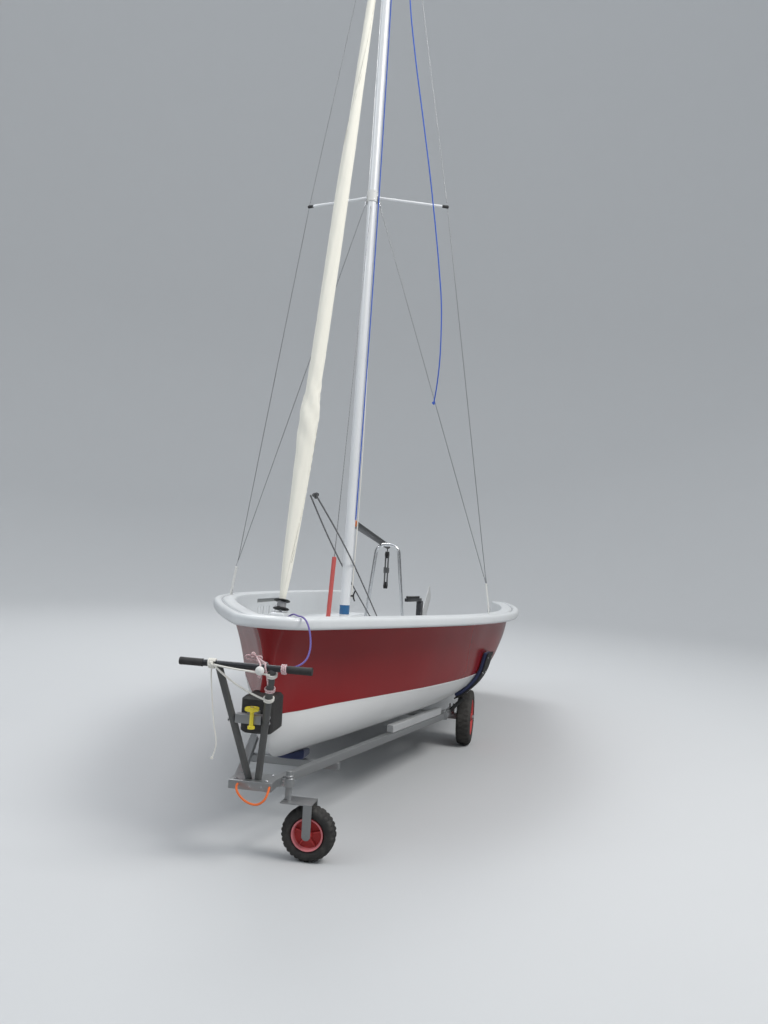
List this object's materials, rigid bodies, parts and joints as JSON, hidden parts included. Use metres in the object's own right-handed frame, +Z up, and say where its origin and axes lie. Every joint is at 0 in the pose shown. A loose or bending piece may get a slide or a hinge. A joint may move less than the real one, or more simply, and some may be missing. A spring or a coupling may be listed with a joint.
{
  "type": "sailing dinghy",
  "caption": "Sailing dinghy with its mast, furled jib and boom up and its rudder lifted, standing on a launching trolley with two road wheels and a jockey wheel.",
  "frame": {"origin": "middle of the bounding box in plan, on the ground under the trolley's wheels", "axes": "+X to the bow, +Y to port, +Z up"},
  "size_m": [6.1078, 2.028, 7.4036],
  "materials": {
    "red_hull": "gloss gelcoat",
    "white_hull": "gloss gelcoat",
    "deck_white": "satin moulding",
    "spar": "white lacquer on aluminium",
    "boom_grey": "dark anodised",
    "steel": "polished stainless",
    "wire": "wire rope",
    "galvanised": "galvanised",
    "black_plastic": "moulded",
    "grey_plastic": "moulded",
    "red_plastic": "moulded",
    "yellow_plastic": "moulded",
    "sailcloth": "rolled sailcloth",
    "navy_cloth": "woven webbing",
    "board_white": "gloss",
    "tyre": "moulded rubber",
    "foam_rubber": "moulded rubber",
    "rope_blue": "braided rope",
    "rope_white": "braided cord",
    "rope_orange": "braided rope"
  },
  "bodies": {
    "base": {"hull_topsides": "red_hull", "hull_bottom": "white_hull", "gunwale": "deck_white", "foredeck": "deck_white", "cockpit_liner": "deck_white", "centreboard_case": "deck_white", "centreboard": "board_white", "mast_step": "grey_plastic", "mast": "spar", "spreader_bracket": "spar", "hounds_fitting": "steel", "spreaders": "boom_grey", "chainplates": "steel", "shroud_adjusters": "spar", "upper_shrouds": "wire", "lower_shrouds": "wire", "bow_block": "deck_white", "forestay": "wire", "furling_drum": "black_plastic", "furled_jib": "sailcloth", "inner_stay_eye": "steel", "inner_stay": "wire", "inner_stay_cover": "red_plastic", "gooseneck_bracket": "steel", "sheet_hoop": "steel", "rudder_gudgeons": "steel", "trolley_side_beams": "galvanised", "trolley_nose": "galvanised", "trolley_cross_member": "galvanised", "trolley_axle": "galvanised", "keel_pad": "navy_cloth", "bunk_boards": "grey_plastic", "cradle_pads": "navy_cloth", "cradle_arms": "galvanised", "handle_tubes": "boom_grey", "handlebar": "galvanised", "handle_grips": "foam_rubber", "snubber_bracket": "galvanised", "bow_snubber": "foam_rubber", "line_reel": "yellow_plastic", "jockey_clamp": "galvanised", "bow_line": "rope_blue", "handle_tail": "rope_white", "strop": "rope_orange", "halyard": "rope_blue"},
    "wheel_port": {"wheel_port_tyre": "tyre", "wheel_port_rim": "red_plastic"},
    "wheel_starboard": {"wheel_starboard_tyre": "tyre", "wheel_starboard_rim": "red_plastic"},
    "jockey_fork": {"jockey_fork": "galvanised"},
    "jockey_wheel": {"jockey_tyre": "tyre", "jockey_rim": "red_plastic"},
    "gooseneck": {"gooseneck_toggle": "steel"},
    "boom": {"boom_fork": "grey_plastic", "boom": "boom_grey", "boom_end": "black_plastic"},
    "rudder_stock": {"rudder_head": "boom_grey", "tiller": "boom_grey", "tiller_extension": "black_plastic"},
    "rudder_blade": {"rudder_blade": "board_white"}
  },
  "joints": [
    {"name": "wheel_port_spin", "type": "hinge", "parent": "base", "child": "wheel_port", "pos_m": [0.1355, 0.7, 0.19], "axis": [0, 1, 0], "continuous": true},
    {"name": "wheel_starboard_spin", "type": "hinge", "parent": "base", "child": "wheel_starboard", "pos_m": [0.1355, -0.7, 0.19], "axis": [0, 1, 0], "continuous": true},
    {"name": "jockey_swivel", "type": "hinge", "parent": "base", "child": "jockey_fork", "pos_m": [2.7335, 0.14, 0.342], "axis": [0, 0, 1], "continuous": true},
    {"name": "jockey_wheel_spin", "type": "hinge", "parent": "jockey_fork", "child": "jockey_wheel", "pos_m": [2.7335, 0.245, 0.124], "axis": [1, 0, 0], "continuous": true},
    {"name": "boom_swing", "type": "hinge", "parent": "base", "child": "gooseneck", "pos_m": [1.02805, 0, 1.51318], "axis": [-0.0514, 0, 0.9987], "range_deg": [-59, 49.5]},
    {"name": "boom_lift", "type": "hinge", "parent": "gooseneck", "child": "boom", "pos_m": [0.99222, -0.00301, 1.51134], "axis": [-0.0836, 0.9965, -0.0043], "range_deg": [0, 45]},
    {"name": "rudder_steer", "type": "hinge", "parent": "base", "child": "rudder_stock", "pos_m": [-2.2065, 0, 0.4], "axis": [0, 0, 1], "range_deg": [-38, 38]},
    {"name": "blade_lift", "type": "hinge", "parent": "rudder_stock", "child": "rudder_blade", "pos_m": [-2.3005, 0, 0.42], "axis": [0, 1, 0], "range_deg": [-52, 15]}
  ]
}
